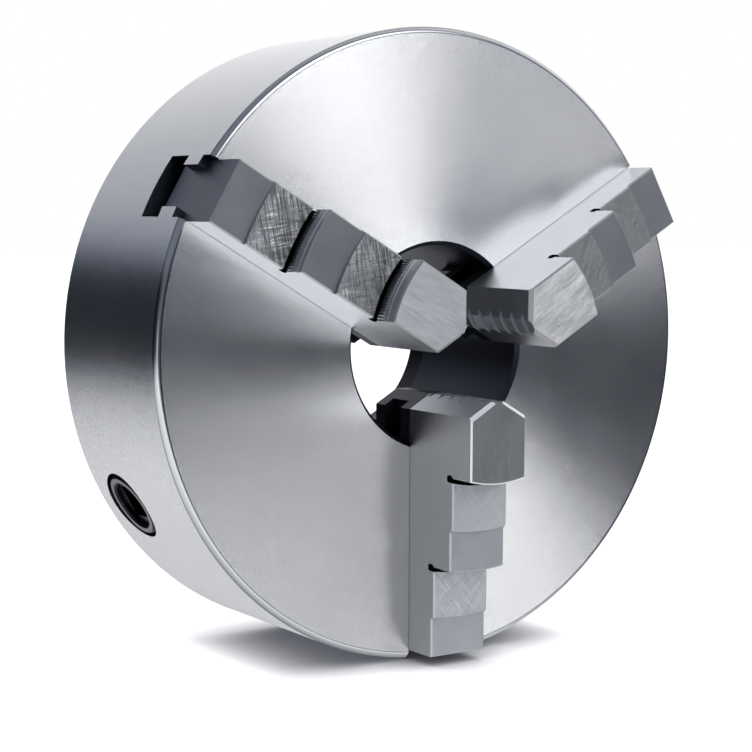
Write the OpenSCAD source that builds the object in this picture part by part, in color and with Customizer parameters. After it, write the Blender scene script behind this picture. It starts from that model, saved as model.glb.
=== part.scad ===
// Three-jaw self-centring lathe chuck with one-piece stepped jaws.
// Three bevel pinions turn a scroll plate, and the scroll's spiral thread drives the
// three jaws in and out together along T-shaped slots in the body.
//
// Modules draw every piece in chuck coordinates: the spindle axis is Z, z = 0 is the rear
// mounting plane and +z points out of the front face. in_frame() then turns the chuck so that
// its front face looks along -Y, with one jaw hanging straight down.

/* [Body] */
// Outside diameter of the body
body_d = 250; // [236:1:320]
// Length of the body from the rear mounting plane to the front face
body_h = 80; // [80:0.5:110]
// Through bore for bar work
bore_d = 80; // [60:1:84]
// Chamfer round the front and rear rims
rim_chamfer = 2; // [0.5:0.1:4]
// Chamfer at the mouth of the bore
bore_chamfer = 1.6; // [0.5:0.1:3]

/* [Rear mounting] */
// Diameter of the register recess that centres the chuck on its backplate
register_d = 206; // [200:1:212]
// Depth of the register recess
register_h = 5; // [3:0.5:6]
// Bolt circle of the tapped mounting holes
mount_pcd = 226; // [222:0.5:230]
// Tapping diameter of the mounting holes
mount_hole_d = 10.2; // [6.8:0.1:12]
// Depth of the mounting holes
mount_hole_h = 22; // [15:1:30]

/* [Cover] */
// Width of the ledge that the register's edge leaves round the cover
cover_ledge = 1; // [0.6:0.1:3]
// Thickness of the cover plate's flange
cover_t = 4.7; // [4:0.1:5]
// Height of the cover's inner boss, which closes the body's hub
cover_boss_h = 10; // [7:0.5:14]
// Metal left outside the cover screws' heads, at the cover's edge
cover_edge = 0.8; // [0.5:0.1:3]
// Metal left between the cover screws' holes and the scroll's chamber
chamber_web = 2.7; // [2:0.1:5]
// Number of cover screws
cover_screws = 6; // [6, 9, 12]
// Diameter of the cover screws
cover_screw_d = 6; // [4, 5, 6]
// Length of the cover screws
cover_screw_l = 14; // [10:1:20]

/* [Jaws] */
// Width of a jaw
jaw_w = 26; // [22:0.5:30]
// Width of the neck between the two guide grooves
neck_w = 17.6; // [14:0.1:19]
// Distance of each gripping nose from the spindle axis in the stored position
nose_r = 18.7; // [12:0.1:24]
// Width of the gripping nose
nose_w = 6.2; // [4:0.1:8]
// Gap from a jaw's outer end to the rim
jaw_inset = 4.1; // [1:0.1:10]
// Height of the tall inner block above the face
tall_h = 40.4; // [34:0.1:50]
// Height of the middle step above the face
mid_h = 27.5; // [24:0.1:30]
// Height of the outer step above the face
low_h = 15.5; // [10:0.1:18]
// Rise of the ground seats above the rest of their steps
seat_rise = 1.5; // [0.5:0.1:2]
// Radius of the tall block's outer gripping wall
tall_wall_r = 50.4; // [44:0.1:54]
// Radius of the middle step's outer gripping wall
mid_wall_r = 86; // [80:0.1:90]
// Radial length of each ground seat, from its wall
seat_l = 19.6; // [12:0.1:22]
// Width of the relief trench at the foot of each wall, from the wall outwards
trench_w = 1.6; // [1.2:0.1:3]
// How far the relief trench reaches in under its wall
trench_undercut = 1.2; // [1:0.1:2]
// Depth of the relief trench below its seat
trench_h = 4; // [2:0.1:5]
// Spacing of the fine serrations at the foot of each gripping wall
serration_pitch = 1.2; // [0.8:0.1:3]
// Depth of the serrations
serration_h = 0.35; // [0.2:0.05:0.8]
// Chamfer on the jaws' top edges
jaw_chamfer = 0.6; // [0.4:0.1:1.6]
// Chamfer on the top edges of the nose's two flanks
flank_chamfer = 1.4; // [0.4:0.1:2]
// Depth of the teeth ground across the nose
nose_tooth_h = 1.5; // [0.6:0.1:2]
// Spacing of the teeth along the nose
nose_tooth_pitch = 6.8; // [4:0.1:9]

/* [Guides] */
// Depth from the face to the guide rails in each slot
rail_depth = 6.8; // [5:0.1:8]
// Height of the guide rails
rail_h = 11; // [8:0.1:14]
// Height of the jaws' base flange, below the rails
flange_h = 6.4; // [5:0.1:8]

/* [Scroll] */
// Lead of the spiral thread, which is the jaws' travel in one turn
scroll_pitch = 10; // [8:0.1:11]
// Width of the spiral ridge
ridge_w = 4.7; // [3.5:0.1:5]
// Height of the spiral ridge
ridge_h = 6.9; // [5:0.1:7.5]
// Gap between the scroll plate and the wall of its chamber
scroll_gap = 0.5; // [0.3:0.1:2]
// Diameter of the body's hub, which the scroll turns on
hub_d = 114; // [94:1:124]
// Thickness of the collar that carries the scroll on the hub
collar_w = 3.4; // [2:0.1:5]
// Teeth of the bevel gear on the scroll's back
gear_teeth = 75; // [72, 75, 78]

/* [Pinions] */
// How far a pinion's shank stands past the tips of its teeth
shank_margin = 0.13; // [0.05:0.01:0.5]
// Metal left between a pinion's hole and the cover
pinion_web = 1; // [0.5:0.1:3]
// Teeth of each pinion
pinion_teeth = 12; // [12]
// Distance of the pinion's outer face below the rim
pinion_inset = 0.5; // [0.3:0.1:8]
// Chamfer round the pinion's outer face
pinion_chamfer = 2.2; // [0.8:0.1:2.5]
// Width across the flats of the key socket
socket_w = 14; // [10:0.5:14]
// Depth of the key socket
socket_h = 22; // [12:1:24]
// Diameter of the round recess that leads into the socket
socket_lead_d = 20; // [15:0.5:22]
// Depth of that recess
socket_lead_h = 2.5; // [1:0.1:4]
// Width of the scroll plate's rim outside the bevel teeth
gear_rim = 8.5; // [7:0.1:12]
// Gap between the collar and the small end of the bevel teeth
gear_gap = 1.4; // [1:0.1:4]

/* [Pinion retaining screws] */
// Metal left between the retaining screws' holes and the register
lock_web = 4; // [2:0.1:6]
// Diameter of the retaining screws
lock_d = 8; // [6:1:10]
// Diameter of their dog points
dog_d = 5.5; // [4:0.5:6.5]
// Depth of the pinion's groove for the dog point
lock_groove_h = 3.4; // [2:0.1:4]

/* [Fits] */
// Side clearance of a jaw in its slot
jaw_fit = 0.1; // [0.05:0.01:0.3]
// Radial clearance of the scroll on the hub and of the pinions in their holes
turn_fit = 0.06; // [0.03:0.01:0.1]
// Clearance of the jaw teeth on each side of the thread
thread_fit = 0.22; // [0.15:0.01:0.4]
// Radial clearance of the screws in their holes and of the cover in its recess
screw_fit = 0.05; // [0.03:0.01:0.1]
// Axial clearance of the scroll in its chamber
end_fit = 0.15; // [0.1:0.05:0.3]
// Backlash taken from each flank of the bevel teeth at their large end
gear_fit = 0.12; // [0.08:0.01:0.2]

/* [Hidden] */
$fn = 96;
past = 1;             // how far a cutting shape runs past the face it opens
weld = 0.05;          // how far joined solids run into each other
pressure_angle = 25;  // of the bevel teeth
jaw_angles = [270, 30, 150];
pinion_angles = [90, 210, 330];

// Radii
rim_r = body_d / 2;
bore_r = bore_d / 2;
hub_r = hub_d / 2;
register_r = register_d / 2;
cover_r = register_r - cover_ledge;
cover_head_d = 2 * cover_screw_d;
cover_head_h = 0.5 * cover_screw_d;
cover_screw_r = cover_r - cover_edge - cover_head_d / 2;
chamber_r = cover_screw_r - cover_screw_d / 2 - chamber_web;
scroll_r = chamber_r - scroll_gap;
shoulder_r = hub_r + 1.8;
jaw_out_r = rim_r - jaw_inset;
lock_r = register_r + lock_web + lock_d / 2;

// Levels along the spindle axis
cover_back_z = register_h;
cover_seat_z = cover_back_z + cover_t;
hub_end_z = cover_back_z + cover_boss_h;
chamber_top_z = body_h - rail_depth - rail_h - flange_h;
thread_top_z = chamber_top_z - 2 * end_fit;
thread_root_z = thread_top_z - ridge_h;
slot_floor_z = thread_root_z + end_fit / 2;
jaw_tooth_z = slot_floor_z + end_fit;
rail_top_z = body_h - rail_depth;
rail_foot_z = rail_top_z - rail_h;
tooth_root_z = chamber_top_z + end_fit;

// Bevel gears: one module at the large end, and one cone apex, where the axes meet, for all teeth.
// The pinions' size follows from the gear's, so that they pass through their own holes.
gear_outer_r = scroll_r - gear_rim;
gear_inner_r = hub_r + turn_fit + collar_w + gear_gap;
gear_slope = pinion_teeth / gear_teeth;
gear_module = 2 * gear_outer_r / gear_teeth;
tip_share = 0.9;     // addendum, in modules
root_share = 1.15;   // dedendum, in modules
pinion_pitch_r = gear_outer_r * gear_slope;
pinion_d = 2 * (pinion_pitch_r + tip_share * gear_module + shank_margin + turn_fit);
apex_z = cover_seat_z + pinion_web + pinion_d / 2;
plate_back_z = apex_z + pinion_pitch_r + root_share * gear_module;

module in_frame() rotate([90, 0, 0]) children();

module at_angles(angles) for (a = angles) rotate([0, 0, a]) children();

module ring(r_out, r_in, z0, z1) translate([0, 0, z0]) difference() {
    cylinder(r = r_out, h = z1 - z0);
    translate([0, 0, -past]) cylinder(r = r_in, h = z1 - z0 + 2 * past);
}

// A prism that takes a 45 degree chamfer off a top edge that runs from p to q at height z, with
// the solid on the left of that direction.
module edge_chamfer(p, q, z, c) {
    run = norm(q - p);
    turn = atan2(q[1] - p[1], q[0] - p[0]);
    translate([p[0], p[1], z]) rotate([0, 0, turn]) translate([-past, 0, 0])
        rotate([90, 0, 90]) linear_extrude(run + 2 * past)
            polygon([[c + past, past], [-past, past], [-past, -c - past]]);
}

// Extrudes a cross-section drawn as [across, height] along the jaw's radius.
module along_jaw(s0, s1) translate([s0, 0, 0]) rotate([90, 0, 90]) linear_extrude(s1 - s0) children();

// ---------------------------------------------------------------- body

module body_shell() rotate_extrude($fn = 180) polygon([
    [bore_r, hub_end_z],
    [hub_r, hub_end_z],
    [hub_r, thread_root_z],
    [shoulder_r, thread_root_z],
    [shoulder_r, chamber_top_z],
    [chamber_r, chamber_top_z],
    [chamber_r, cover_seat_z],
    [cover_r, cover_seat_z],
    [cover_r, register_h],
    [register_r, register_h],
    [register_r, 0],
    [rim_r - rim_chamfer, 0],
    [rim_r, rim_chamfer],
    [rim_r, body_h - rim_chamfer],
    [rim_r - rim_chamfer, body_h],
    [bore_r + bore_chamfer, body_h],
    [bore_r, body_h - bore_chamfer]
]);

// Outline of a slot: wide above and below the rails, and open through the face.
module slot_outline() {
    wide = jaw_w / 2 + jaw_fit;
    narrow = neck_w / 2 + jaw_fit;
    translate([-wide, rail_top_z]) square([2 * wide, body_h - rail_top_z + past]);
    translate([-narrow, rail_foot_z - past]) square([2 * narrow, rail_h + 2 * past]);
    translate([-wide, slot_floor_z]) square([2 * wide, rail_foot_z - slot_floor_z]);
}

module chuck_body() in_frame() color("#b9bcc2") difference() {
    body_shell();
    at_angles(jaw_angles) along_jaw(0, rim_r + past) slot_outline();
    at_angles(pinion_angles) translate([0, 0, apex_z]) rotate([0, 90, 0])
        translate([0, 0, chamber_r - 10]) cylinder(d = pinion_d, h = rim_r);
    at_angles(jaw_angles) translate([mount_pcd / 2, 0, -past])
        cylinder(d = mount_hole_d, h = mount_hole_h + past);
    at_angles(pinion_angles) translate([lock_r, 0, -past]) cylinder(d = lock_d, h = apex_z + past);
    cover_screw_places() translate([0, 0, cover_seat_z - past])
        cylinder(d = cover_screw_d, h = cover_screw_l + past);
}

// ---------------------------------------------------------------- cover

module cover_screw_places()
    at_angles([for (i = [0 : cover_screws - 1]) i * 360 / cover_screws])
        translate([cover_screw_r, 0, 0]) children();

module countersunk_outline(d, head_d, head_h, l) {
    cylinder(d1 = head_d, d2 = d, h = head_h);
    cylinder(d = d, h = l);
}

module cover_plate() in_frame() color("#8f9298") difference() {
    union() {
        ring(cover_r - screw_fit, bore_r, cover_back_z, cover_seat_z);
        ring(hub_r - 1, bore_r, cover_seat_z - weld, hub_end_z);
    }
    cover_screw_places() translate([0, 0, cover_back_z]) {
        countersunk_outline(cover_screw_d, cover_head_d, cover_head_h, 2 * cover_t);
        translate([0, 0, -past]) cylinder(d = cover_head_d, h = past);
    }
}

module cover_screws() in_frame() color("#3c3e42") cover_screw_places()
    translate([0, 0, cover_back_z]) difference() {
    countersunk_outline(cover_screw_d - 2 * screw_fit, cover_head_d - 2 * screw_fit,
        cover_head_h - screw_fit, cover_screw_l - 1);
    hex_socket(0.66 * cover_screw_d, 0.4 * cover_screw_d);
}

// A hexagon socket that opens towards -z at z = 0.
module hex_socket(across, depth) translate([0, 0, -past])
    cylinder(d = across / cos(30), h = depth + past, $fn = 6);

// ---------------------------------------------------------------- scroll

// Radius of the middle of the thread's ridge at angle a, a whole number of turns from the start.
function ridge_r(a) = shoulder_r - 0.7 * scroll_pitch + scroll_pitch * a / 360;

// The spiral ridge as one outline: out along its inner wall and back along its outer wall.
module spiral_outline() {
    turns = ceil((scroll_r - shoulder_r) / scroll_pitch) + 1;
    step = 5;
    polygon(concat(
        [for (a = [0 : step : turns * 360]) (ridge_r(a) - ridge_w / 2) * [cos(a), sin(a)]],
        [for (a = [turns * 360 : -step : 0]) (ridge_r(a) + ridge_w / 2) * [cos(a), sin(a)]]
    ));
}

module spiral_thread() intersection() {
    translate([0, 0, thread_root_z - weld]) linear_extrude(ridge_h + weld) spiral_outline();
    ring(scroll_r, shoulder_r + 0.2, thread_root_z - 2 * past, thread_top_z + past);
}

// One bevel tooth of the scroll. Every edge of it runs to the cone's apex.
module gear_tooth() {
    m = gear_module / gear_outer_r;
    thick = PI * m / 4 - gear_fit / gear_outer_r;
    foot = (root_share + 0.15) * m;
    tip = tip_share * m;
    section = [
        [-thick - foot * tan(pressure_angle), gear_slope + foot],
        [thick + foot * tan(pressure_angle), gear_slope + foot],
        [thick - tip * tan(pressure_angle), gear_slope - tip],
        [-thick + tip * tan(pressure_angle), gear_slope - tip]
    ];
    points = [for (r = [gear_inner_r, gear_outer_r]) for (p = section) r * [1, p[0], p[1]]];
    translate([0, 0, apex_z]) polyhedron(points, [
        [3, 2, 1, 0], [4, 5, 6, 7], [0, 1, 5, 4], [1, 2, 6, 5], [2, 3, 7, 6], [3, 0, 4, 7]
    ]);
}

module scroll_blank() {
    bearing_r = hub_r + turn_fit;
    collar_r = bearing_r + collar_w;
    root_in_z = apex_z + gear_inner_r * (plate_back_z - apex_z) / gear_outer_r;
    rotate_extrude($fn = 180) polygon([
        [bearing_r, cover_seat_z + end_fit],
        [collar_r, cover_seat_z + end_fit],
        [collar_r, root_in_z],
        [gear_inner_r, root_in_z],
        [gear_outer_r, plate_back_z],
        [scroll_r, plate_back_z],
        [scroll_r, thread_root_z],
        [shoulder_r + 0.2, thread_root_z],
        [shoulder_r + 0.2, thread_root_z - end_fit / 2],
        [bearing_r, thread_root_z - end_fit / 2]
    ]);
}

module scroll_plate() in_frame() color("#85888f") union() {
    scroll_blank();
    spiral_thread();
    for (i = [0 : gear_teeth - 1])
        rotate([0, 0, pinion_angles[0] + (i + 0.5) * 360 / gear_teeth]) gear_tooth();
}

// ---------------------------------------------------------------- pinions

function involute(a) = tan(a) - a * PI / 180;

// Half the angle that a pinion tooth takes up at radius r, where 1 is the pitch radius.
function tooth_half_angle(r) =
    let (base = cos(pressure_angle), at = max(r, base))
    90 / pinion_teeth - gear_fit / pinion_pitch_r * 180 / PI
        + (involute(pressure_angle) - involute(acos(base / at))) * 180 / PI;

module pinion_outline(pitch_r) {
    m = 2 / pinion_teeth;
    radii = [1 - root_share * m, cos(pressure_angle), 0.94,
        1, 1 + tip_share / 3 * m, 1 + tip_share * 2 / 3 * m, 1 + tip_share * m];
    last = len(radii) - 1;
    polygon([for (i = [0 : pinion_teeth - 1]) for (j = [0 : 2 * last + 1])
        let (
            side = j <= last ? -1 : 1,
            r = radii[j <= last ? j : 2 * last + 1 - j],
            a = i * 360 / pinion_teeth + side * tooth_half_angle(r)
        )
        pitch_r * r * [cos(a), sin(a)]
    ]);
}

module pinion() {
    face_r = rim_r - pinion_inset;
    shank_r = pinion_d / 2 - turn_fit;
    neck_r = pinion_pitch_r - root_share * gear_module;
    neck_l = 1.5;
    groove_w = dog_d + 0.6;
    lead_bevel = 0.8;
    translate([0, 0, gear_outer_r]) mirror([0, 0, 1])
        linear_extrude(gear_outer_r - gear_inner_r, scale = gear_inner_r / gear_outer_r)
            pinion_outline(pinion_pitch_r);
    translate([0, 0, gear_outer_r - weld]) cylinder(r = neck_r, h = neck_l + 2 * weld);
    difference() {
        rotate_extrude() polygon([
            [0, gear_outer_r + neck_l],
            [shank_r - 1, gear_outer_r + neck_l],
            [shank_r, gear_outer_r + neck_l + 1],
            [shank_r, lock_r - groove_w / 2],
            [shank_r - lock_groove_h, lock_r - groove_w / 2],
            [shank_r - lock_groove_h, lock_r + groove_w / 2],
            [shank_r, lock_r + groove_w / 2],
            [shank_r, face_r - pinion_chamfer],
            [shank_r - pinion_chamfer, face_r],
            [0, face_r]
        ]);
        translate([-socket_w / 2, -socket_w / 2, face_r - socket_h])
            cube([socket_w, socket_w, socket_h + past]);
        translate([0, 0, face_r - socket_lead_h]) cylinder(d = socket_lead_d, h = socket_lead_h + past);
        translate([0, 0, face_r - lead_bevel])
            cylinder(r1 = socket_lead_d / 2, r2 = socket_lead_d / 2 + 2 * lead_bevel, h = 2 * lead_bevel);
    }
}

module placed_pinion(i) in_frame() color("#4b4d52") rotate([0, 0, pinion_angles[i]])
    translate([0, 0, apex_z]) rotate([0, 90, 0]) pinion();

// A grub screw from the rear face whose dog point runs in the pinion's groove.
module retaining_screw(i) in_frame() color("#3c3e42") rotate([0, 0, pinion_angles[i]])
    translate([lock_r, 0, 0]) difference() {
        body_r = lock_d / 2 - screw_fit;
        back_z = 1;
        shoulder_z = apex_z - pinion_d / 2 - 0.6;
        tip_z = apex_z - pinion_d / 2 + lock_groove_h - 0.3;
        union() {
            translate([0, 0, back_z]) cylinder(r1 = body_r - 0.6, r2 = body_r, h = 0.6);
            translate([0, 0, back_z + 0.6]) cylinder(r = body_r, h = shoulder_z - back_z - 0.6);
            translate([0, 0, shoulder_z - weld]) cylinder(d = dog_d, h = tip_z - shoulder_z + weld);
        }
        translate([0, 0, back_z]) hex_socket(0.5 * lock_d, 0.5 * lock_d);
    }

// ---------------------------------------------------------------- jaws

// Where a spiral wall that crosses the jaw's axis at radius r lies at t to the side, less r.
function wall_bow(r, t) = let (a = asin(t / r), q = r + scroll_pitch * a / 360) sqrt(q * q - t * t) - r;

// Outline of one jaw tooth, centred on s = 0. Its faces clear the spiral groove at every radius
// that the tooth meets, so the inner face is the flattest of them and the outer the most curved.
module jaw_tooth_outline() {
    half = (scroll_pitch - ridge_w) / 2 - thread_fit;
    low = shoulder_r;
    high = scroll_r;
    span = jaw_w / 2;
    step = span / 8;
    polygon(concat(
        [for (t = [-span : step : span + step / 4]) [max(wall_bow(low, t), wall_bow(high, t)) - half, t]],
        [for (t = [span : -step : -span - step / 4]) [min(wall_bow(low, t), wall_bow(high, t)) + half, t]]
    ));
}

// Teeth of the jaw at angle a, each in a groove of the spiral half a lead past a ridge.
module jaw_teeth(a) {
    first = ridge_r(a) + scroll_pitch / 2;
    start = ceil((flank_s + scroll_pitch / 2 - first) / scroll_pitch);
    end = floor((jaw_out_r - scroll_pitch / 2 - first) / scroll_pitch);
    for (k = [start : end]) translate([first + k * scroll_pitch, 0, jaw_tooth_z])
        linear_extrude(tooth_root_z - jaw_tooth_z + weld) jaw_tooth_outline();
}

nose_slope = tan(60);
flank_s = nose_r + (jaw_w - nose_w) / 2 / nose_slope;

// Plan of the jaw: a nose between two flanks at 60 degrees, so that three jaws close together.
module jaw_plan() polygon([
    [nose_r, -nose_w / 2], [flank_s, -jaw_w / 2], [jaw_out_r, -jaw_w / 2],
    [jaw_out_r, jaw_w / 2], [flank_s, jaw_w / 2], [nose_r, nose_w / 2]
]);

tall_z = body_h + tall_h;
mid_z = body_h + mid_h;
low_z = body_h + low_h;
mid_seat_z = mid_z + seat_rise;
low_seat_z = low_z + seat_rise;

// Heights of the two shallow grooves round each gripping wall, above its seat
tall_grooves = [7, 4.4];
mid_grooves = [7.3, 3.2];
groove_half = 0.5;
trench_corner = 0.7;

// Everything that the steps leave out, as a profile of [radius, height] turned round the spindle:
// each gripping wall has its grooves, and a relief trench at its foot that undercuts it.
function wall_profile(r, seat_z, grooves) = concat(
    [for (z = grooves) for (p = [[0, groove_half], [-0.7, 0], [0, -groove_half]])
        [r + p[0], seat_z + z + p[1]]],
    [
        [r, seat_z + 0.1],
        [r - trench_undercut, seat_z - trench_undercut],
        [r - trench_undercut, seat_z - trench_h + trench_corner],
        [r - trench_undercut + trench_corner, seat_z - trench_h],
        [r + trench_w - trench_corner, seat_z - trench_h],
        [r + trench_w, seat_z - trench_h + trench_corner],
        [r + trench_w, seat_z]
    ]
);

module step_cutter() rotate_extrude($fn = 180) polygon(concat(
    [[tall_wall_r - jaw_chamfer - past, tall_z + past], [tall_wall_r, tall_z - jaw_chamfer]],
    wall_profile(tall_wall_r, mid_seat_z, tall_grooves),
    [[tall_wall_r + seat_l, mid_seat_z], [tall_wall_r + seat_l, mid_z]],
    [[mid_wall_r - jaw_chamfer, mid_z], [mid_wall_r, mid_z - jaw_chamfer]],
    wall_profile(mid_wall_r, low_seat_z, mid_grooves),
    [[mid_wall_r + seat_l, low_seat_z], [mid_wall_r + seat_l, low_z]],
    [[2 * rim_r, low_z], [2 * rim_r, tall_z + past]]
));

// V-shaped serrations across the wall of radius r, from its seat up to its lower groove.
module serrations(r, seat_z, top) {
    half_turn = serration_pitch / r * 90 / PI;
    count = ceil(jaw_w / serration_pitch) + 1;
    crest = r - 0.05;
    translate([0, 0, seat_z - 0.4]) linear_extrude(top + 0.4) polygon(concat(
        [for (i = [-count : count])
            (crest - abs(i % 2) * serration_h) * [cos(i * half_turn), sin(i * half_turn)]],
        [for (i = [count : -2 : -count])
            (r + trench_w / 2) * [cos(i * half_turn), sin(i * half_turn)]]
    ));
}

// Cross-section of a jaw up to height z, with chamfered top edges and grooves for the rails.
module jaw_section(z) {
    half = jaw_w / 2;
    neck = neck_w / 2;
    polygon([
        [half, tooth_root_z], [half, rail_foot_z - jaw_fit], [neck, rail_foot_z - jaw_fit],
        [neck, rail_top_z + jaw_fit], [half, rail_top_z + jaw_fit],
        [half, z - jaw_chamfer], [half - jaw_chamfer, z],
        [-half + jaw_chamfer, z], [-half, z - jaw_chamfer],
        [-half, rail_top_z + jaw_fit], [-neck, rail_top_z + jaw_fit],
        [-neck, rail_foot_z - jaw_fit], [-half, rail_foot_z - jaw_fit], [-half, tooth_root_z]
    ]);
}

module jaw_bars() {
    along_jaw(nose_r, tall_wall_r) jaw_section(tall_z);
    along_jaw(nose_r, tall_wall_r + seat_l) jaw_section(mid_seat_z);
    along_jaw(nose_r, mid_wall_r) jaw_section(mid_z);
    along_jaw(nose_r, mid_wall_r + seat_l) jaw_section(low_seat_z);
    along_jaw(nose_r, jaw_out_r) jaw_section(low_z);
}

// V-shaped teeth cut across the nose, from just under the tall block's top down to the rails.
module nose_teeth() {
    count = floor((tall_h + rail_depth) / nose_tooth_pitch);
    for (i = [0 : count - 1])
        translate([nose_r, 0, tall_z - (i + 0.75) * nose_tooth_pitch])
            rotate([90, 0, 0]) translate([0, 0, -jaw_w / 2]) linear_extrude(jaw_w)
                polygon([[-past, 2.6], [-past, -1.6], [0, -0.9], [nose_tooth_h, 0], [0, 1.9]]);
}

module jaw(i) in_frame() color("#9a9ca3") rotate([0, 0, jaw_angles[i]]) union() {
    difference() {
        intersection() {
            jaw_bars();
            translate([0, 0, tooth_root_z - past]) linear_extrude(tall_z) jaw_plan();
        }
        step_cutter();
        serrations(tall_wall_r, mid_seat_z, tall_grooves[1]);
        serrations(mid_wall_r, low_seat_z, mid_grooves[1]);
        nose_teeth();
        for (side = [-1, 1]) {
            flank = [[flank_s, side * jaw_w / 2], [nose_r, side * nose_w / 2]];
            start = side > 0 ? 0 : 1;
            edge_chamfer(flank[start], flank[1 - start], tall_z, flank_chamfer);
        }
        edge_chamfer([jaw_out_r, -jaw_w / 2], [jaw_out_r, jaw_w / 2], low_z, jaw_chamfer);
    }
    jaw_teeth(jaw_angles[i]);
}

chuck_body();
cover_plate();
cover_screws();
scroll_plate();
for (i = [0 : 2]) {
    jaw(i);
    placed_pinion(i);
    retaining_screw(i);
}
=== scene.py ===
# %% [markdown]
# # A three-jaw lathe chuck, finished in Blender
# A scroll chuck is a short steel drum that bolts to a lathe's spindle. Three stepped jaws slide in
# slots in its face. Turning one of the three pinions in its side turns a hidden spiral, and the
# spiral moves all three jaws together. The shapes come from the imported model, which is exact, so
# this lesson is about finishes: how turned, ground and blackened steel are made from node
# materials, and how a studio is arranged so that bare metal has something to reflect.

import math
from types import SimpleNamespace

import bpy
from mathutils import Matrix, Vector


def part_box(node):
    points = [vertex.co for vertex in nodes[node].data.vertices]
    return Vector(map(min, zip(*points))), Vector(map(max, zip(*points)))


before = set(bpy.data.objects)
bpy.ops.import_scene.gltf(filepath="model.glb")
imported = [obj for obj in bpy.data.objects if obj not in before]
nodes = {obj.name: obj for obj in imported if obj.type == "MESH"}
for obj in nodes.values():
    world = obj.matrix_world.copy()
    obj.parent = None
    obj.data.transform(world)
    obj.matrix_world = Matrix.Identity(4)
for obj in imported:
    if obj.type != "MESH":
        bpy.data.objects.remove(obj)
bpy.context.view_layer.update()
print("pieces:", sorted(nodes))

# %% [markdown]
# The materials need a few sizes of the real object. They are measured on the loaded pieces where
# that is possible, so the finishes stay in register with the shapes. The spindle axis is Y, the
# jaws face -Y, and every jaw's length points away from the axis at its own angle.

# %% Sizes that the finishes follow
MM = 0.001
SOFT = 0.1 * MM    # width of the border between two finishes
NEAR = 0.3 * MM    # how close to a flat level still counts as on it
JAW_ANGLES = {"jaw_1": 270, "jaw_2": 30, "jaw_3": 150}
PINION_ANGLES = {"pinion_1": 90, "pinion_2": 210, "pinion_3": 330}
body_low, body_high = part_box("chuck_body")
BODY_R = (body_high.x - body_low.x) / 2
BODY_DEPTH = body_high.y - body_low.y
FACE_Y = body_low.y
TABLE_Z = body_low.z
print(f"body radius {BODY_R / MM:.1f} mm, depth {BODY_DEPTH / MM:.1f} mm")
print(f"face at y = {FACE_Y / MM:.1f} mm, table at z = {TABLE_Z / MM:.1f} mm")

# %% [markdown]
# Blender's shader editor is a drawing of a formula. Here the formula is written directly. A `Wire`
# holds one output socket, and `+ - * /` on wires add the Math nodes that a person would draw.
# Every other node comes from `Wire.new`, which takes the node's type, its settings and what goes
# into its sockets.

# %% The wire class
class Wire:
    """An output socket. Arithmetic on it adds Math nodes to its tree."""

    def __init__(self, socket):
        self.socket = socket
        self.tree = socket.id_data

    @staticmethod
    def new(tree, kind, settings=None, sockets=None, output=0):
        """Adds a node, gives it its settings and then its inputs, and returns one output, if any."""
        node = tree.nodes.new(kind)
        for name, value in (settings or {}).items():
            setattr(node, name, value)
        for name, value in (sockets or {}).items():
            if isinstance(value, Wire):
                tree.links.new(value.socket, node.inputs[name])
            else:
                node.inputs[name].default_value = value
        return Wire(node.outputs[output]) if node.outputs else None

    def maths(self, operation, *others, clamp=False):
        settings = {"operation": operation, "use_clamp": clamp}
        return Wire.new(self.tree, "ShaderNodeMath", settings, dict(enumerate((self, *others))))

    def __add__(self, other):
        return self.maths("ADD", other)

    def __sub__(self, other):
        return self.maths("SUBTRACT", other)

    def __mul__(self, other):
        return self.maths("MULTIPLY", other)

    def __truediv__(self, other):
        return self.maths("DIVIDE", other)

    def __radd__(self, other):
        return self.maths("ADD", other)

    def __rmul__(self, other):
        return self.maths("MULTIPLY", other)

    def __rsub__(self, other):
        return Wire.new(self.tree, "ShaderNodeMath", {"operation": "SUBTRACT"}, {0: other, 1: self})

    def __neg__(self):
        return 0 - self

    def size(self):
        """This number without its sign."""
        return self.maths("ABSOLUTE")

    def swing(self, amount):
        """Noise from 0 to 1 as a change to either side of nothing."""
        return (self - 0.5) * amount

    def between(self, low, high):
        """0 at or below low, 1 at or above high, and a smooth ramp between them."""
        return Wire.new(
            self.tree, "ShaderNodeMapRange", {"interpolation_type": "SMOOTHSTEP"},
            {"Value": self, "From Min": low, "From Max": high},
        )

    def vector(self, operation, other=None, output=0):
        inputs = {0: self} if other is None else {0: self, 1: other}
        return Wire.new(self.tree, "ShaderNodeVectorMath", {"operation": operation}, inputs, output)

    def scaled(self, amount):
        """This vector times a number, which may be a wire."""
        return Wire.new(
            self.tree, "ShaderNodeVectorMath", {"operation": "SCALE"}, {0: self, "Scale": amount}
        )

    def dot(self, direction):
        return self.vector("DOT_PRODUCT", direction, "Value")


def mix_colours(mask, off, on):
    """The colour off where mask is 0 and on where it is 1."""
    def filled(colour):
        return colour if isinstance(colour, Wire) else (*colour, 1.0)
    return Wire.new(
        mask.tree, "ShaderNodeMix", {"data_type": "RGBA"},
        {"Factor": mask, "A": filled(off), "B": filled(on)}, "Result",
    )


print("operators ready")

# %% [markdown]
# Every finish needs to know where it is. `Place` collects the things that the formulas read: the
# point in the piece's own coordinates, the way the surface faces, and the radius and the radial
# direction from the spindle axis. These coordinates move with their piece, so a jaw's marks travel
# with the jaw.

# %% Where a point lies
FINEST = 1.0e5    # cells per metre of the finest grain, far smaller than anything that is seen


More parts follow.
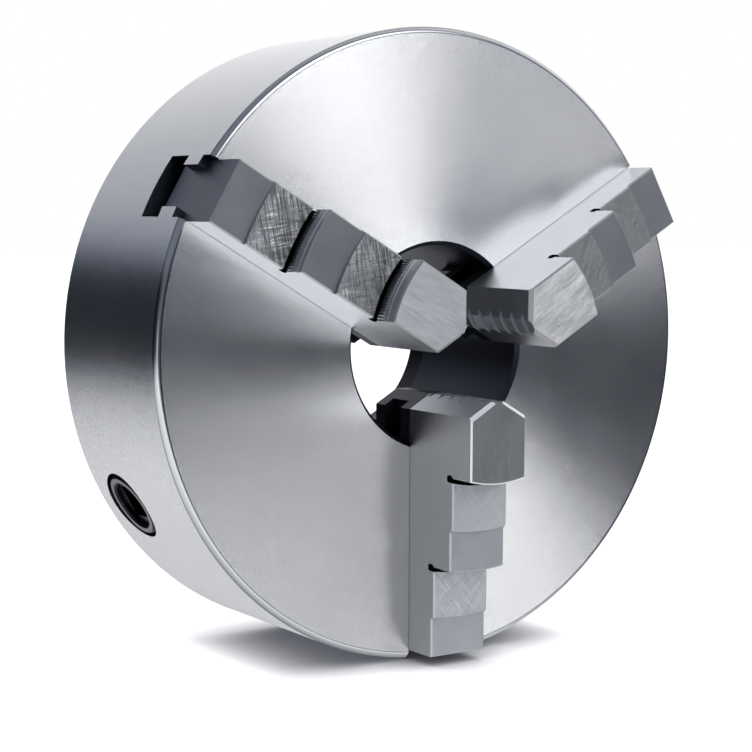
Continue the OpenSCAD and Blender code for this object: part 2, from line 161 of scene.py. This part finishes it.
class Place:
    """The coordinates of a surface point, as wires of one material's tree."""

    def __init__(self, tree):
        self.tree = tree
        self.point = Wire.new(tree, "ShaderNodeTexCoord", output="Object")
        self.facing = Wire.new(tree, "ShaderNodeTexCoord", output="Normal")
        self.normal = Wire.new(tree, "ShaderNodeNewGeometry", output="Normal")
        self.x = self.point.dot((1, 0, 0))
        self.y = self.point.dot((0, 1, 0))
        self.z = self.point.dot((0, 0, 1))
        self.radial = self.arrow(self.x, 0.0, self.z).vector("NORMALIZE")
        self.radius = self.point.dot(self.radial)
        self.around = self.arrow(-self.z, 0.0, self.x).vector("NORMALIZE")
        self.forward = -self.facing.dot((0, 1, 0))
        self.height = FACE_Y - self.y

    def arrow(self, x, y, z):
        return Wire.new(self.tree, "ShaderNodeCombineXYZ", sockets={"X": x, "Y": y, "Z": z})

    def to_world(self, direction):
        """A direction of the piece as a direction of the room, for pieces that turn."""
        turned = {"vector_type": "VECTOR", "convert_from": "OBJECT", "convert_to": "WORLD"}
        return Wire.new(self.tree, "ShaderNodeVectorTransform", turned, {"Vector": direction})

    def leaned(self, *leans):
        """The surface's normal, tilted by each (direction, amount) pair."""
        normal = self.normal
        for direction, amount in leans:
            normal = normal.vector("ADD", self.to_world(direction).scaled(amount))
        return normal.vector("NORMALIZE")

    def grains(self, offset):
        """A random number from 0 to 1 that is new at every point, however close."""
        spread = self.point.scaled(FINEST).vector("ADD", (offset, 0, 0))
        return Wire.new(self.tree, "ShaderNodeTexWhiteNoise", sockets={"Vector": spread}, output="Value")

    def noise(self, where, detail, scale=1.0):
        """Soft noise from 0 to 1 at a vector, whose steps are about one unit wide."""
        return Wire.new(
            self.tree, "ShaderNodeTexNoise", {},
            {"Vector": where, "Scale": scale, "Detail": detail, "Roughness": 0.6}, "Fac",
        )


print("places ready")

# %% [markdown]
# A finish is laid on through masks, each 1 on its own region and 0 elsewhere. Most of them ask one
# of two things: whether a value lies in a range, or whether the surface squarely faces a direction,
# which is so when the cosine of the angle between the two is nearly 1.

# %% Masks
SQUARELY = (0.90, 0.97)


def inside(value, low, high, soft):
    """1 while value lies between low and high, with soft borders that lie outside them."""
    return value.between(low - soft, low) * (1.0 - value.between(high, high + soft))


def on_level(height, level):
    """1 on the flat surfaces at a level."""
    return inside(height, level - NEAR, level + NEAR, SOFT)


print("a surface counts as facing a way between the cosines", SQUARELY)

# %% [markdown]
# A material starts as a Principled shader and its output. Only what changes over the surface is
# linked, and a number that is the same all over is set on the socket itself.

# %% An empty finish
def new_finish(name):
    """An empty material: itself, its coordinates and its Principled shader."""
    material = bpy.data.materials.new(name)
    material.use_nodes = True
    tree = material.node_tree
    tree.nodes.clear()
    surface = Wire.new(tree, "ShaderNodeBsdfPrincipled", output="BSDF")
    Wire.new(tree, "ShaderNodeOutputMaterial", sockets={"Surface": surface})
    return material, Place(tree), surface.socket.node


def feed(shader, **inputs):
    """Sets or links the Principled shader's sockets, named with underscores for spaces."""
    for name, value in inputs.items():
        socket = shader.inputs[name.replace("_", " ")]
        if isinstance(value, Wire):
            shader.id_data.links.new(value.socket, socket)
        else:
            socket.default_value = value


def lit(colour, shine):
    """A colour made brighter or darker."""
    return [shine * c for c in colour]


def shades(colour, spread):
    """A darker and a lighter copy of a colour, neither lighter than white."""
    return lit(colour, 1 - spread), [min(1.0, c) for c in lit(colour, 1 + spread)]


print("finishes can be started")

# %% [markdown]
# ## Turned steel
# A lathe tool leaves a fine spiral groove, far too fine to see one by one. Across the grooves the
# surface is a washboard and along them it is smooth, so it smears a reflection in one direction
# only. That is what draws the bright and dark wedges on a turned face. One way to get it is the
# shader's Anisotropic value. Here the washboard itself is made: the grooves are finer than anything
# that can be seen, so every point simply leans the normal by its own random amount across them.
# This works on every surface that a lathe can turn, with no tangent to be set up.

# %% The washboard
GRAIN_OFFSETS = (0.0, 37.0)
STREAK_TURNS = 110.0
GROOVE = 0.40 * MM


def washboard(place, slope):
    """A random slope for each point, with small slopes likelier than steep ones."""
    first, second = GRAIN_OFFSETS
    return (place.grains(first) + place.grains(second) - 1.0) * slope


def turned_marks(place):
    """Grain for turned metal: short streaks along the grooves, and soft clouds."""
    profile = place.radius + place.y
    rows = place.arrow(0.0, profile / GROOVE, 0.0)
    streaks = place.noise(place.around.scaled(STREAK_TURNS).vector("ADD", rows), 2.0)
    clouds = place.noise(place.point, 3.0, 26.0)
    return streaks, clouds


print(f"washboard ready, streaks {GROOVE / MM:.2f} mm wide")

# %% [markdown]
# The body is turned all over and then ground on its face and side. Its edges are broken by a small
# round, which a polished rim shows as one bright line between two dark ones. The bore, the slots and the
# pinion holes are machined but not finished, and their near-black colour is painted shade in these
# hollows, with some oil. So the drum's skin, its face and its two edges need masks.

# %% The regions of the body
RIM_ROUND = 2.5 * MM
REAR_RIM = 74.6 * MM


def body_regions(place):
    """Masks of the two rounded edges, the face, and everything that is ground."""
    depth = -place.height
    on_edge = place.radius.between(BODY_R - RIM_ROUND - SOFT, BODY_R - RIM_ROUND)
    on_edge = on_edge * place.facing.dot((0, 1, 0)).size().between(0.5, 0.6)
    on_edge = on_edge * (1.0 - inside(depth, RIM_ROUND, BODY_DEPTH - RIM_ROUND, SOFT))
    on_face = place.forward.between(*SQUARELY) * inside(place.height, -SOFT, SOFT, SOFT)
    on_side = place.facing.dot(place.radial).between(*SQUARELY)
    on_side = on_side * place.radius.between(BODY_R - NEAR, BODY_R - SOFT)
    on_rear = depth.between(REAR_RIM - NEAR, REAR_RIM)
    skin = (on_edge + on_face + on_side + on_rear).maths("MINIMUM", 1.0)
    return on_edge, on_face, skin


print(f"edges {RIM_ROUND / MM} mm wide, rear rim from {REAR_RIM / MM:.1f} mm behind the face")

# %% [markdown]
# The model has a flat chamfer at each edge. To make it look round, the normal is turned smoothly
# from the face's to the side's across it. The washboard then leans that normal across the grooves.

# %% The body's normals
def body_normal(place, on_edge, lean):
    """The normal of the turned drum, rounded over its edges."""
    share = ((place.radius - (BODY_R - RIM_ROUND)) / RIM_ROUND).maths("ADD", 0.0, clamp=True)
    flat_way = place.facing.vector("MULTIPLY", (0, 1, 0)).vector("NORMALIZE").scaled(1.0 - share)
    rounded = place.radial.scaled(share).vector("ADD", flat_way).vector("NORMALIZE")
    smooth = place.facing.scaled(1.0 - on_edge).vector("ADD", rounded.scaled(on_edge))
    across_grooves = smooth.vector("CROSS_PRODUCT", place.around)
    normal = smooth.vector("ADD", across_grooves.scaled(lean)).vector("NORMALIZE")
    return place.to_world(normal)


print("edges are rounded by their normals")

# %% [markdown]
# The face is the brightest and has the steepest grooves, so it smears reflections most; its lighter
# steel colour is painted light. The edges are polished smoother, and their darker steel colour is
# painted shade.

# %% The body's finish
# one turned steel in three brightnesses: the face's is painted light, the edges' painted shade
FACE_STEEL_PAINTED_LIGHT = (0.87, 0.872, 0.882)
SIDE_STEEL = (0.69, 0.695, 0.71)
EDGE_STEEL_PAINTED_SHADE = (0.53, 0.54, 0.56)
# near-black for the bore, slots and pinion holes: painted shade in the hollows, with some oil
RECESS_SHADE_AND_OIL = (0.046, 0.052, 0.068)
SIDE_SLOPE = 0.36
FACE_EXTRA_SLOPE = 0.37
BODY_ROUGHNESS = 0.24


def body_finish(name):
    material, place, shader = new_finish(name)
    on_edge, on_face, skin = body_regions(place)
    streaks, clouds = turned_marks(place)
    shade = 0.5 + streaks.swing(3.0) + clouds.swing(0.6)
    side = mix_colours(shade, *shades(SIDE_STEEL, 0.08))
    face = mix_colours(shade, *shades(FACE_STEEL_PAINTED_LIGHT, 0.08))
    # the face's lighter steel is painted light and the edges' darker steel is painted shade
    polished = mix_colours(on_edge, mix_colours(on_face, side, face), EDGE_STEEL_PAINTED_SHADE)
    slope = (SIDE_SLOPE + on_face * FACE_EXTRA_SLOPE) * (1.0 - on_edge * 0.8)
    lean = washboard(place, slope) + streaks.swing(0.12) * (1.0 - on_edge)
    feed(
        shader,
        Base_Color=mix_colours(skin, RECESS_SHADE_AND_OIL, polished),
        Metallic=1.0,
        Roughness=BODY_ROUGHNESS + clouds.swing(0.08) + (1.0 - skin) * 0.18 - on_edge * 0.08,
        Normal=body_normal(place, on_edge, lean),
    )
    return material


body_steel = body_finish("turned_body_steel")
print("body finish:", body_steel.name)

# %% [markdown]
# The cover plate and the scroll plate are turned too, a little duller. Their bores are black, as painted
# shade deep in the bore with some oil, and from the front the cover shows only as a black ring at the
# far end of the bore.

# %% The plates' finish
COVER_STEEL = (0.50, 0.51, 0.53)
SCROLL_STEEL = (0.40, 0.405, 0.42)
# black for the plates' bores: painted shade deep in the bore, with some oil
BORE_PAINTED_SHADE = (0.012, 0.012, 0.015)
PLATE_ROUGHNESS = 0.36


def plate_finish(name, colour, slope):
    material, place, shader = new_finish(name)
    in_bore = (-place.facing.dot(place.radial)).between(0.8, 0.95)
    streaks, clouds = turned_marks(place)
    shade = 0.5 + streaks.swing(0.6) + clouds.swing(0.5)
    lean = washboard(place, slope) + streaks.swing(0.08)
    across_grooves = place.facing.vector("CROSS_PRODUCT", place.around)
    feed(
        shader,
        Base_Color=mix_colours(in_bore, mix_colours(shade, *shades(colour, 0.15)), BORE_PAINTED_SHADE),
        Metallic=1.0,
        Roughness=PLATE_ROUGHNESS + clouds.swing(0.15),
        Normal=place.leaned((across_grooves, lean)),
    )
    return material


cover_steel = plate_finish("turned_cover_steel", COVER_STEEL, slope=0.3)
scroll_steel = plate_finish("turned_scroll_steel", SCROLL_STEEL, slope=0.25)
print("plate finishes:", cover_steel.name, scroll_steel.name)

# %% [markdown]
# ## Ground jaws
# A jaw is hardened and then ground where it works. The grinding wheel runs along the jaw, so its sides
# and the top of its tall block have lines along their length. The two seats are ground in both
# directions and look cross-hatched. The rest of each step keeps the even grey of the heat treatment, and
# the outer end is dark. The relief trenches and everything inside the slot are painted dark, as painted
# shade. The finish has to know where the steps are, so they are measured on the loaded jaw first.

# %% Measure the steps of a jaw
SMALLEST_TOP = 150 * MM * MM
LEVEL_STEP = 0.1 * MM    # heights are counted in steps of this


def step_levels(piece):
    """Heights above the chuck's face of the flat tops of a jaw, lowest first."""
    areas = {}
    for polygon in piece.data.polygons:
        if polygon.normal.y < -0.999:
            level = round((FACE_Y - polygon.center.y) / LEVEL_STEP)
            areas[level] = areas.get(level, 0) + polygon.area
    return sorted(k * LEVEL_STEP for k, area in areas.items() if k > 0 and area > SMALLEST_TOP)


def wall_radius(piece, level):
    """Radius of the gripping wall that rises just above a level."""
    reach = [v.co for v in piece.data.vertices if FACE_Y - v.co.y > level + 1.5 * MM]
    return max(math.hypot(c.x, c.z) for c in reach)


LOW, LOW_SEAT, MID, MID_SEAT, TALL = step_levels(nodes["jaw_1"])
TALL_WALL = wall_radius(nodes["jaw_1"], MID_SEAT)
MID_WALL = wall_radius(nodes["jaw_1"], LOW_SEAT)
JAW_END = max(math.hypot(v.co.x, v.co.z) for v in nodes["jaw_1"].data.vertices)
print("levels", [round(v / MM, 1) for v in (LOW, LOW_SEAT, MID, MID_SEAT, TALL)], "mm")
print("walls at", round(TALL_WALL / MM, 1), "and", round(MID_WALL / MM, 1), "mm")
print("outer end at", round(JAW_END / MM, 1), "mm")

# %% [markdown]
# Each region of a jaw is a mask: the tops by the way they face and their height, the trenches and
# the serrated bands by the radius of their wall. The crown is the chamfer round the tall block's
# top, and the teeth are cut into the nose below it.

# %% The regions of a jaw
STEPS = ((MID_SEAT, TALL_WALL), (LOW_SEAT, MID_WALL))
TRENCH_W = 1.7 * MM
TRENCH_H = 4.1 * MM
UNDERCUT = 1.3 * MM
SERRATED = 3.6 * MM
SERRATION_H = 1.2 * MM
CROWN_FOOT = TALL - 1.8 * MM
BORDER = 0.2 * MM


def jaw_regions(place, along_way, across_way):
    """Masks of the parts of a jaw that have a finish of their own, or painted shade in the trenches and
    inside the slot.
    """
    height = place.height
    outward = place.facing.dot(along_way)
    along = place.point.dot(along_way)
    top = place.forward.between(*SQUARELY)
    side = place.facing.dot(across_way).size().between(*SQUARELY)
    edge = inside(place.forward, 0.6, 0.85, 0.05)
    slanted = place.forward.size().between(0.12, 0.2) * (-outward).between(0.3, 0.4)
    seat = sum(top * on_level(height, level) for level, wall in STEPS)
    trench = sum(
        inside(place.radius, wall - UNDERCUT, wall + TRENCH_W, SOFT)
        * inside(height, level - TRENCH_H, level - BORDER, BORDER) * (1.0 - side)
        for level, wall in STEPS
    )
    ribbed = sum(
        inside(place.radius, wall - SERRATION_H, wall - SOFT / 2, SOFT / 2)
        * inside(height, level, level + SERRATED, BORDER) * (1.0 - side)
        for level, wall in STEPS
    )
    return SimpleNamespace(
        tall=top * on_level(height, TALL),
        side=side,
        seat=seat,
        edge=edge,
        crown=edge * height.between(CROWN_FOOT, CROWN_FOOT + BORDER),
        toothed=slanted * (1.0 - height.between(CROWN_FOOT - BORDER, CROWN_FOOT)),
        ribbed=ribbed,
        buried=(-height).between(0.0, NEAR),
        end=along.between(JAW_END - 3.0 * MM, JAW_END - 2.8 * MM) * outward.between(*SQUARELY),
        trench=trench,
    )


print("crown from", round(CROWN_FOOT / MM, 1), "mm above the face")

# %% [markdown]
# The scratches are soft noise, stretched up to sixty times along the way the wheel ran. Two sets of
# them cross on the seats, one rising and one falling. They tilt the normal, and the deepest also
# darken the metal.

# %% The grinding marks
def marks(place, run, length, over, width, layer, detail):
    """Noise in marks of a length and a width, in metres. Each layer has its own pattern."""
    return place.noise(place.arrow(run / length, over / width, layer), detail)


def grinding_marks(place, along, across):
    """The marks of the wheel on the tall top, on the sides and, in both directions, on the seats."""
    swept, leant = along + across * 0.5, across - along * 0.1
    steep, shallow = along * 1.2 + across, along * 0.8 - across
    rising = marks(place, steep, 0.8 * MM, along - across, 13 * MM, 13.5, 3.0)
    falling = marks(place, shallow, 0.8 * MM, along + across, 13 * MM, 17.5, 3.0)
    patches = place.noise(place.point, 1.0, 90.0).between(0.35, 0.6)
    deep = rising.between(0.48, 0.58).maths("MAXIMUM", falling.between(0.50, 0.60) * patches)
    return SimpleNamespace(
        lines=marks(place, along, 16 * MM, across, 0.35 * MM, 1.5, 4.0),
        fan=marks(place, swept, 9 * MM, leant, 1.6 * MM, 5.5, 3.0),
        side_lines=marks(place, along, 18 * MM, place.height, 0.30 * MM, 9.5, 4.0),
        rising=rising,
        falling=falling,
        deep=deep,
    )


print("grinding marks ready")

# %% [markdown]
# The colours go on coat by coat, each over the ones before it. The numbers of a jaw's look brighten or
# darken the steel of one region, as wear and as painted light and shade, and hatch says how strongly its
# seats are cross-hatched. The slot and trench coats are painted shade.

# %% The jaws' colours
GROUND = (0.78, 0.795, 0.82)
HARDENED = (0.56, 0.575, 0.61)
BARE_EDGE = (0.50, 0.51, 0.53)
TOOTH_GREY = (0.10, 0.105, 0.125)
RIB_GREY = (0.30, 0.31, 0.34)
# near-black for the part of a jaw inside its slot: painted shade
SLOT_PAINTED_SHADE = (0.033, 0.037, 0.048)
END_DARK, END_GREY = (0.15, 0.155, 0.185), (0.21, 0.22, 0.25)
# black for the relief trenches: painted shade
TRENCH_PAINTED_SHADE = (0.008, 0.009, 0.012)


def jaw_colour(region, mark, clouds, look):
    """The colour of a jaw, from its masks, its marks and the numbers of its look, which are wear and
    painted light and shade.
    """
    # the look's numbers brighten or darken each region, as wear and painted light and shade
    ground_top = shades(lit(GROUND, look["top_wear_and_painted_shading"]), 0.24)
    ground_side = shades(lit(GROUND, look["side_wear_and_painted_shading"]), 0.08)
    seat_steel = lit(GROUND, look["seat_wear_and_painted_shading"])
    hatching = mark.deep * (0.05 + 0.8 * look["hatch"])
    coats = (
        (region.tall, mix_colours(mark.lines * 0.4 + mark.fan * 0.6, *ground_top)),
        (region.side, mix_colours(mark.side_lines, *ground_side)),
        (region.seat, mix_colours(hatching, seat_steel, lit(seat_steel, 0.25))),
        (region.edge, BARE_EDGE),
        (region.crown, [look["crown_wear_and_painted_shading"]] * 3),
        (region.toothed, TOOTH_GREY),
        (region.ribbed, RIB_GREY),
        (region.buried, SLOT_PAINTED_SHADE),
        (region.end, mix_colours(clouds, END_DARK, END_GREY)),
        (region.trench, TRENCH_PAINTED_SHADE),
    )
    colour = mix_colours(clouds, *shades(lit(HARDENED, look["step_wear_and_painted_shading"]), 0.10))
    for mask, coat in coats:
        colour = mix_colours(mask, colour, coat)
    return colour


print("coats over the hardened steel are ready")

# %% [markdown]
# The wheel's washboard leans the normals across the jaw on its top, both ways on the seats, and up and
# down on its sides. The numbers of each jaw's look were set region by region, until the brightness seen
# from the camera was close to the real one's. They stand for wear, and also for painted light and shade
# in place of what the simple room leaves out of the light, so other light may suit them less.

# %% The jaws' finish
TOP_SLOPE = 0.42
SIDE_WHEEL_SLOPE = 0.22
JAW_ROUGHNESS = 0.42
# each jaw's numbers below are wear and painted light and shade for its regions
JAW_LOOKS = {
    "jaw_1": {
        "hatch": 0.0, "side_wear_and_painted_shading": 0.40, "top_wear_and_painted_shading": 0.76,
        "step_wear_and_painted_shading": 1.38, "seat_wear_and_painted_shading": 1.21, "crown_wear_and_painted_shading": 0.9,
    },
    "jaw_2": {
        "hatch": 0.12, "side_wear_and_painted_shading": 0.80, "top_wear_and_painted_shading": 1.22,
        "step_wear_and_painted_shading": 0.82, "seat_wear_and_painted_shading": 0.44, "crown_wear_and_painted_shading": 0.4,
    },
    "jaw_3": {
        "hatch": 1.0, "side_wear_and_painted_shading": 1.1, "top_wear_and_painted_shading": 1.0,
        "step_wear_and_painted_shading": 0.66, "seat_wear_and_painted_shading": 0.72, "crown_wear_and_painted_shading": 0.4,
    },
}


def jaw_finish(name, degrees, look):
    material, place, shader = new_finish(name)
    turn = math.radians(degrees)
    along_way = (math.cos(turn), 0, math.sin(turn))
    across_way = (-math.sin(turn), 0, math.cos(turn))
    region = jaw_regions(place, along_way, across_way)
    mark = grinding_marks(place, place.point.dot(along_way), place.point.dot(across_way))
    clouds = place.noise(place.point, 3.0, 60.0)

    wheel = washboard(place, TOP_SLOPE)
    side_wheel = washboard(place, SIDE_WHEEL_SLOPE)
    hatched = 0.4 + look["hatch"]
    top_lean = region.tall * (wheel + mark.lines.swing(0.25) + mark.fan.swing(0.40))
    seat_lean = region.seat * (mark.rising.swing(hatched) + wheel)
    seat_lean_along = region.seat * (mark.falling.swing(hatched) + wheel * 0.5)
    side_lean = region.side * (side_wheel + mark.side_lines.swing(0.10))
    feed(
        shader,
        Base_Color=jaw_colour(region, mark, clouds, look),
        Metallic=1.0,
        Roughness=JAW_ROUGHNESS + clouds.swing(0.08) - region.tall * 0.06 - region.side * 0.08,
        Normal=place.leaned(
            (place.arrow(*across_way), top_lean + seat_lean),
            (place.arrow(*along_way), seat_lean_along),
            (place.arrow(0.0, -1.0, 0.0), side_lean),
        ),
    )
    return material


jaw_finishes = {
    jaw: jaw_finish(f"ground_{jaw}", JAW_ANGLES[jaw], look) for jaw, look in JAW_LOOKS.items()
}
print("jaw finishes:", [m.name for m in jaw_finishes.values()])

# %% [markdown]
# ## Black oxide
# The pinions and the screws are blackened: a thin dark film over steel, a little glossy with oil,
# that rubs through to bare metal first where a tool touches it. The flat ring round a pinion's
# socket takes that rubbing, so it is greyer than the rest.

# %% The blackened finish
OXIDE_BLACK = (0.020, 0.021, 0.026)
SPECKLE_GREY = (0.16, 0.16, 0.17)
RUBBED_RING = (0.20, 0.205, 0.225)
RING_START = BODY_R - 5.0 * MM
OXIDE_ROUGHNESS = 0.38


def blackened(name, degrees=None):
    """Black oxide. A pinion gives its angle, and gets a rubbed ring at its outer end."""
    material, place, shader = new_finish(name)
    speckle = place.noise(place.point, 4.0, 420.0)
    clouds = place.noise(place.point, 3.0, 150.0)
    colour = mix_colours(speckle.between(0.60, 0.80) * 0.5, OXIDE_BLACK, SPECKLE_GREY)
    if degrees is not None:
        turn = math.radians(degrees)
        outward = (math.cos(turn), 0, math.sin(turn))
        ring = place.point.dot(outward).between(RING_START, RING_START + 0.5 * MM)
        ring = place.facing.dot(outward).between(*SQUARELY) * ring
        colour = mix_colours(ring * (0.7 + clouds.swing(0.6)), colour, RUBBED_RING)
    feed(
        shader,
        Base_Color=colour,
        Metallic=1.0,
        Roughness=OXIDE_ROUGHNESS + speckle.swing(0.25),
    )
    return material


black = blackened("black_oxide")
pinion_finishes = {p: blackened(f"black_{p}", angle) for p, angle in PINION_ANGLES.items()}
print("black finishes:", black.name, [m.name for m in pinion_finishes.values()])

# %% [markdown]
# ## Giving the pieces their finishes
# A CAD piece keeps its shape. Only what is in its material slot changes.

# %% Assign the finishes
FINISHES = {
    "chuck_body": body_steel, "cover_plate": cover_steel, "scroll_plate": scroll_steel,
    **jaw_finishes, **pinion_finishes,
}
for name, piece in nodes.items():
    piece.data.materials.clear()
    piece.data.materials.append(FINISHES.get(name, black))
print("finished pieces:", len(nodes))

# %% [markdown]
# ## The studio
# Polished metal has almost no colour of its own: what it shows is the room. The table is a plain white
# sheet that glows a little, so that it stays white, and a shadow is painted into its colour and its glow
# where the drum stands on it.
# It is kept out of reflections, because the room made in the next step has a floor of its own.

# %% The table
TABLE_HALF = 6.0
CONTACT_REACH = 0.02
CONTACT_POWER = 1.5
TABLE_GLOW = 0.78
BLACK, WHITE = (0.0, 0.0, 0.0), (1.0, 1.0, 1.0)


def make_table():
    mesh = bpy.data.meshes.new("table_top")
    signs = [(-1, -1), (1, -1), (1, 1), (-1, 1)]
    corners = [(x * TABLE_HALF, y * TABLE_HALF, TABLE_Z) for x, y in signs]
    mesh.from_pydata(corners, [], [(0, 1, 2, 3)])
    table = bpy.data.objects.new("table_top", mesh)
    bpy.context.scene.collection.objects.link(table)
    material, place, shader = new_finish("white_table")
    reach = {"Distance": CONTACT_REACH}
    # ambient occlusion paints a shadow into the table's colour and glow where the drum stands
    painted_contact_shadow = Wire.new(place.tree, "ShaderNodeAmbientOcclusion", {"samples": 8}, reach, "AO")
    painted_contact_shadow = painted_contact_shadow.maths("POWER", CONTACT_POWER)
    feed(
        shader,
        Base_Color=mix_colours(painted_contact_shadow, (0.20, 0.21, 0.24), (0.60, 0.60, 0.61)),
        Emission_Color=mix_colours(painted_contact_shadow, BLACK, WHITE),
        Emission_Strength=TABLE_GLOW,
        Roughness=0.9,
        Specular_IOR_Level=0.0,
    )
    mesh.materials.append(material)
    table.visible_glossy = False
    return table


table = make_table()
print(table.name, "at z =", round(TABLE_Z, 4))

# %% [markdown]
# The room is a World, so it is infinitely far away and costs nothing to render. Its brightness is a
# formula of the direction that is looked in. It is bright overhead and below, and a dark band runs right
# round and dips a little to the right. That band gives the drum its dark side and the face its dark
# wedges. The ceiling is brightest behind the chuck on the right, and one soft box hangs in front. A
# second, narrow one stands at the front left for the bright line on the drum's edge. The formula's
# constants began as a fit and were then rounded and changed.

# %% The room
CEILING_EDGE = (0.11, 0.24)
FLOOR_EDGE = (0.19, 0.33)
KEY = {"direction": (-71, 36), "edge": (0.88, 1.0), "strength": 3.2}
STRIP = {"direction": (-148, -6), "edge": (0.978, 0.992), "strength": 0.9}
DIM_TINT, BRIGHT_TINT = (0.80, 0.91, 1.18), (0.995, 1.0, 1.015)


def towards(azimuth, elevation):
    """A unit vector; azimuth 0 is +X and 90 is +Y, both angles in degrees."""
    a, e = math.radians(azimuth), math.radians(elevation)
    return (math.cos(a) * math.cos(e), math.sin(a) * math.cos(e), math.sin(e))


def soft_box(way, direction, edge, strength):
    """A round light in one direction, with a soft edge between two cosines."""
    return way.dot(towards(*direction)).between(*edge) * strength


def room_light(way):
    """The brightness of the room in the direction of a wire."""
    x, y, z = way.dot((1, 0, 0)), way.dot((0, 1, 0)), way.dot((0, 0, 1))
    level = z + 0.145 * x + 0.008
    ceiling = level.between(*CEILING_EDGE)
    below = (-level).between(*FLOOR_EDGE)
    ceiling_light = (0.16 + 0.90 * x + 0.72 * y).maths("MAXIMUM", 0.29)
    floor_light = 1.15 - 0.28 * y - 0.14 * x - (-z).between(0.50, 0.90) * 0.35
    band_light = (0.062 - 0.05 * x + 0.20 * x * y).maths("MAXIMUM", 0.020)
    light = band_light * (1.0 - ceiling) * (1.0 - below) + ceiling_light * ceiling
    return light + floor_light * below + soft_box(way, **KEY) + soft_box(way, **STRIP)


def make_room():
    world = bpy.data.worlds.new("soft_studio")
    bpy.context.scene.world = world
    world.use_nodes = True
    tree = world.node_tree
    tree.nodes.clear()
    light = room_light(Wire.new(tree, "ShaderNodeTexCoord", output="Generated"))
    tint = mix_colours(light.between(0.0, 0.9), DIM_TINT, BRIGHT_TINT)
    camera_ray = Wire.new(tree, "ShaderNodeLightPath", output="Is Camera Ray")
    seen = mix_colours(camera_ray, tint.scaled(light), WHITE)
    background = Wire.new(tree, "ShaderNodeBackground", {}, {"Color": seen, "Strength": 1.0})
    Wire.new(tree, "ShaderNodeOutputWorld", sockets={"Surface": background})
    return world


room = make_room()
print("room:", room.name)

# %% [markdown]
# One large soft light overhead casts the drum's shadow on the table. The darkest shadow, where the drum
# stands, is painted into the table's colour.

# %% The overhead light
OVERHEAD_PLACE = (-0.3, -0.3, 1.5)
OVERHEAD_WIDTH = 1.6
OVERHEAD_WATTS = 4


def make_overhead():
    data = bpy.data.lights.new("overhead_softbox", "AREA")
    data.shape = "DISK"
    data.size = OVERHEAD_WIDTH
    data.energy = OVERHEAD_WATTS
    light = bpy.data.objects.new("overhead_softbox", data)
    light.location = OVERHEAD_PLACE
    light.rotation_euler = (Vector((0, 0, 0)) - light.location).to_track_quat("-Z", "Y").to_euler()
    light.visible_glossy = False
    bpy.context.scene.collection.objects.link(light)
    return light


overhead = make_overhead()
print("overhead light:", overhead.data.energy, "W")

# %% [markdown]
# ## The camera
# A long lens a little to the left of the spindle axis shows the face, the side of the drum and the
# steps of all three jaws. Its place, turn and lens were solved from the outline of the drum.

# %% Place the camera
CAMERA_PLACE = (-0.42804, -0.67483, 0.05484)
CAMERA_TURN = (84.779, -0.281, -33.811)
CAMERA_LENS = 88.65
camera_data = bpy.data.cameras.new("camera")
camera_data.sensor_width = 36
camera_data.lens = CAMERA_LENS
camera = bpy.data.objects.new("camera", camera_data)
camera.location = CAMERA_PLACE
camera.rotation_euler = [math.radians(a) for a in CAMERA_TURN]
bpy.context.scene.collection.objects.link(camera)
bpy.context.scene.camera = camera
bpy.context.scene.view_settings.view_transform = "Standard"
print("camera:", round(camera_data.lens, 2), "mm lens")
